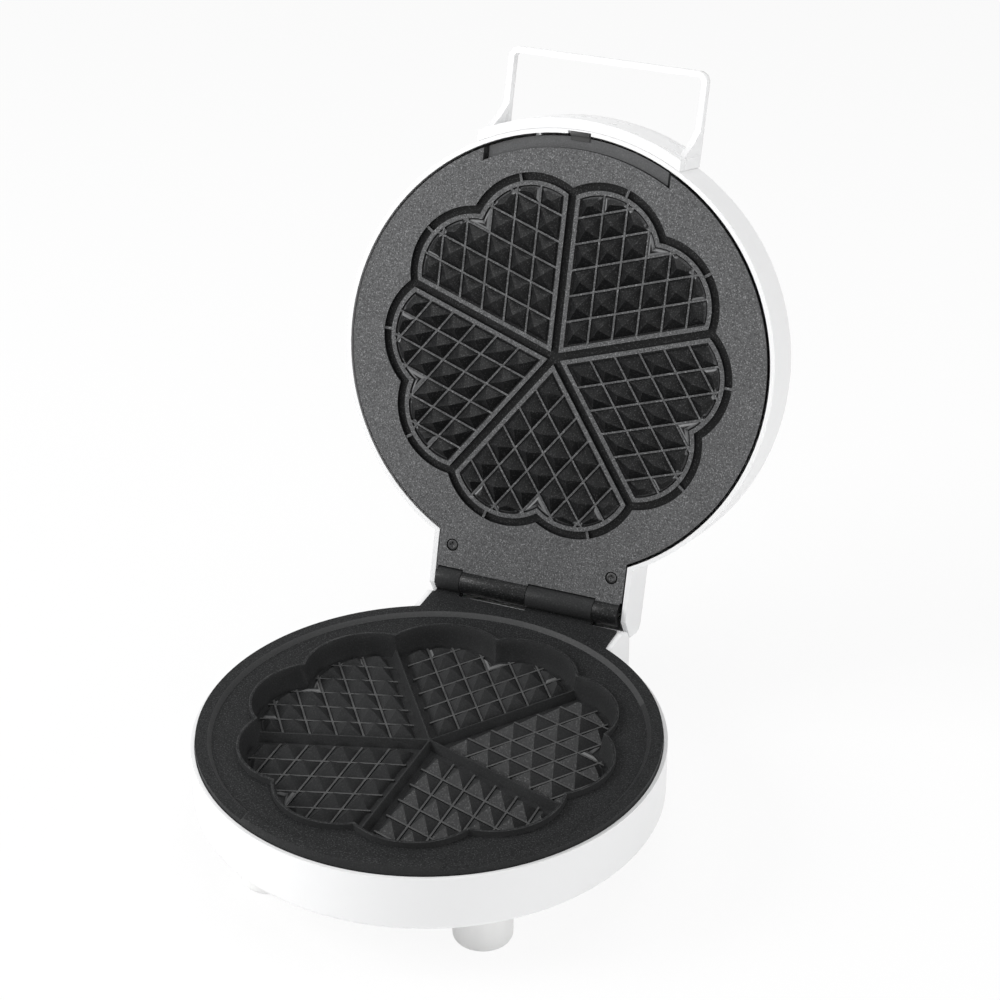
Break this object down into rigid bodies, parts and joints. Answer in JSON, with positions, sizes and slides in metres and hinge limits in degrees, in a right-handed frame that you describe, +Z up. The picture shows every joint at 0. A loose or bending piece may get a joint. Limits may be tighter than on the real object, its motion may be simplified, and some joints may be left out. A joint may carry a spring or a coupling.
{
  "type": "waffle maker",
  "caption": "Round hinged waffle maker with heart-shaped baking cavities, a loop handle and tall feet, shown with its lid open.",
  "frame": {"origin": "middle of the bounding box at the floor, with the lid open", "axes": "+X to the right seen from the front, -Y to the front, +Z up"},
  "size_m": [0.206, 0.311, 0.2871],
  "materials": {
    "lower_housing": "glossy white moulding",
    "feet": "glossy white moulding",
    "foot_screws": "zinc plated",
    "lower_plate": "dark, finely textured non-stick coating",
    "lower_plate_screws": "zinc plated",
    "lower_element": "heat-stained tube",
    "lower_element_clamps": "pressed strip",
    "lower_reflector": "bright sheet",
    "thermostat": "ceramic and metal can",
    "thermal_fuse": "plated can",
    "terminal_block": "matt ivory",
    "cord_gland": "black rubber",
    "hinge_pin": "ground steel",
    "base_leads": "silicone sleeve",
    "upper_housing": "glossy white moulding",
    "handle": "glossy white moulding",
    "handle_screws": "zinc plated",
    "upper_plate": "dark, finely textured non-stick coating",
    "upper_plate_screws": "blackened",
    "front_clip": "spring strip",
    "upper_element": "heat-stained tube",
    "upper_element_clamps": "pressed strip",
    "upper_reflector": "bright sheet",
    "power_lamp_lens": "clear red cap",
    "ready_lamp_lens": "clear green cap",
    "neon_lamps": "small glass lamps",
    "lid_leads": "silicone sleeve"
  },
  "bodies": {
    "base": {"lower_housing": "lower_housing", "feet": "feet", "foot_screws": "foot_screws", "lower_plate": "lower_plate", "lower_plate_screws": "lower_plate_screws", "lower_element": "lower_element", "lower_element_clamps": "lower_element_clamps", "lower_reflector": "lower_reflector", "thermostat": "thermostat", "thermal_fuse": "thermal_fuse", "terminal_block": "terminal_block", "cord_gland": "cord_gland", "hinge_pin": "hinge_pin", "base_leads": "base_leads"},
    "lid": {"upper_housing": "upper_housing", "handle": "handle", "handle_screws": "handle_screws", "upper_plate": "upper_plate", "upper_plate_screws": "upper_plate_screws", "front_clip": "front_clip", "upper_element": "upper_element", "upper_element_clamps": "upper_element_clamps", "upper_reflector": "upper_reflector", "power_lamp_lens": "power_lamp_lens", "ready_lamp_lens": "ready_lamp_lens", "neon_lamps": "neon_lamps", "lid_leads": "lid_leads"}
  },
  "joints": [
    {"name": "lid_hinge", "type": "hinge", "parent": "base", "child": "lid", "pos_m": [0, 0.05949, 0.0568], "axis": [1, 0, 0], "range_deg": [0, 106]}
  ]
}
